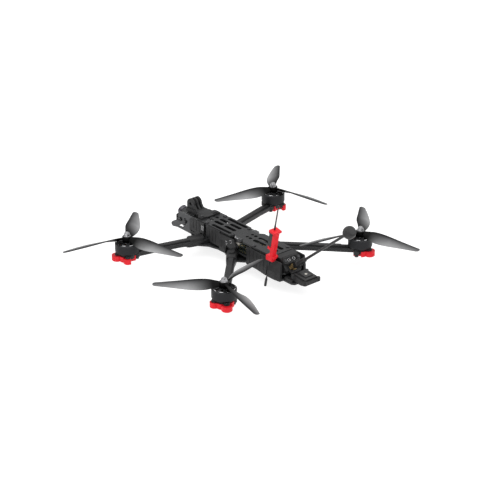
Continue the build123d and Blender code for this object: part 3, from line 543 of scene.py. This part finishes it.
def gps_lid_glint():
    """Pale tile set cornerwise in the GPS module's lid as a painted highlight for a small glint, with a
    raised frame.
    """
    tilt = Matrix.Rotation(-math.atan2(3.0, 28.0), 4, "X")
    lid = Matrix.Translation((0.0, 123.0, 11.0)) @ tilt @ Matrix.Translation((0.0, 0.0, 3.4))
    tile, rim = bmesh.new(), bmesh.new()
    cornerwise = lid @ Matrix.Rotation(math.radians(45), 4, "Z")
    block(tile, (-1.7, -1.7, -0.1), (1.7, 1.7, 0.3), cornerwise, 0.12)
    for side in range(4):
        turned = lid @ Matrix.Rotation(math.radians(90 * side), 4, "Z")
        block(rim, (-6.6, 5.9, -0.15), (6.6, 6.5, 0.3), turned, 0.12)
    # The pale tile is a painted glint on the lid.
    finish_piece("receiver_lid_glint_tile", tile, IVORY_AND_GLINT, "airframe")
    finish_piece("receiver_lid_rim", rim, MATERIALS["black_plastic"], "airframe")


def board_components():
    """Chips, capacitors and wire sockets on the upper board, and a row of capacitors on the lower."""
    chips, sockets, caps = bmesh.new(), bmesh.new(), bmesh.new()
    top, low_board = 20.6, 14.6
    chip_places = ((-9.5, 4.0, 4.0, 4.0), (-10.5, 22.0, 3.0, 5.0),
                   (8.5, 24.0, 5.0, 3.0), (6.0, 2.0, 3.0, 3.0))
    for x, y, width, depth in chip_places:
        block(chips, (x - width / 2, y - depth / 2, top - 0.05), (x + width / 2, y + depth / 2, top + 1.0))
    for y in (0.5, 23.5):
        block(sockets, (12.2, y - 3.4, top - 0.05), (18.0, y + 3.4, top + 2.6))
        block(sockets, (-18.0, y - 2.6, top - 0.05), (-14.6, y + 2.6, top + 2.4))
    for k in range(7):
        x = -6.0 + 2.0 * k
        block(caps, (x, 18.6, top - 0.05), (x + 0.8, 20.2, top + 0.7), edge=0.1)
        block(caps, (x, 27.2, low_board - 0.05), (x + 1.0, 28.8, low_board + 1.0), edge=0.1)
    finish_piece("board_chips", chips, CHIP, "airframe")
    finish_piece("board_sockets", sockets, IVORY_AND_GLINT, "airframe")
    finish_piece("board_capacitors", caps, MATERIALS["brass"], "airframe")


def add_details():
    bell_trims()
    bracket_edges()
    vent_inserts()
    hub_rings()
    lens_element()
    port_shells()
    antenna_trims()
    whip_sleeves()
    gps_lid_glint()
    board_components()


# ------------------------------------------------------------------ camera, light and floor

def stage_material():
    """Pale matt paper that glows a little, so shadows on it stay faint."""
    material, tree, shader = new_material("stage_floor", grey(0.36), 0.9, 0.0, 0.0)
    tone = ramp(tree, noise(tree, place(tree), 0.004), grey(0.35), grey(0.37))
    tree.links.new(tone, shader.inputs["Base Color"])
    shader.inputs["Emission Color"].default_value = (1.0, 1.0, 1.0, 1.0)
    shader.inputs["Emission Strength"].default_value = 0.8
    return material


def make_floor():
    bpy.ops.mesh.primitive_plane_add(size=30.0, location=(0.0, 0.0, cad_box[0][2]))
    floor = bpy.context.object
    floor.name = "studio_floor"
    floor.data.materials.append(stage_material())


def make_camera():
    data = bpy.data.cameras.new("camera")
    data.lens = 130.72
    data.sensor_width = 36.0
    camera = bpy.data.objects.new("camera", data)
    bpy.context.collection.objects.link(camera)
    position = Vector((1.4448, 1.6928, 1.0527))
    target = Vector((0.01944, 0.00769, 0.0305))
    look = (target - position).to_track_quat("-Z", "Y").to_matrix()
    roll = Matrix.Rotation(math.radians(-0.151), 3, "Z")
    camera.matrix_world = Matrix.Translation(position) @ (look @ roll).to_4x4()
    bpy.context.scene.camera = camera


def area_light(name, location, size, power):
    data = bpy.data.lights.new(name, "AREA")
    data.size = size
    data.energy = power
    light = bpy.data.objects.new(name, data)
    light.location = location
    light.rotation_euler = (-Vector(location)).to_track_quat("-Z", "Y").to_euler()
    bpy.context.collection.objects.link(light)


def make_light():
    world = bpy.data.worlds.new("studio")
    bpy.context.scene.world = world
    world.use_nodes = True
    tree = world.node_tree
    background = tree.nodes["Background"]
    source = add(tree, "ShaderNodeTexCoord")
    split = add(tree, "ShaderNodeSeparateXYZ")
    tree.links.new(source.outputs["Generated"], split.inputs[0])
    sky = ramp(tree, split.outputs[2], grey(0.2), grey(1.15), 0.0, 0.75)
    tree.links.new(sky, background.inputs["Color"])
    background.inputs["Strength"].default_value = 1.25
    area_light("key", (0.6, -0.4, 1.6), 1.2, 6.0)
    area_light("side", (-1.2, 1.2, 0.9), 1.0, 3.0)
    area_light("front", (1.4, 0.3, 0.6), 0.8, 2.0)
    bpy.context.scene.view_settings.view_transform = "Standard"


dress_cad_nodes()
add_details()
make_camera()
make_light()
make_floor()
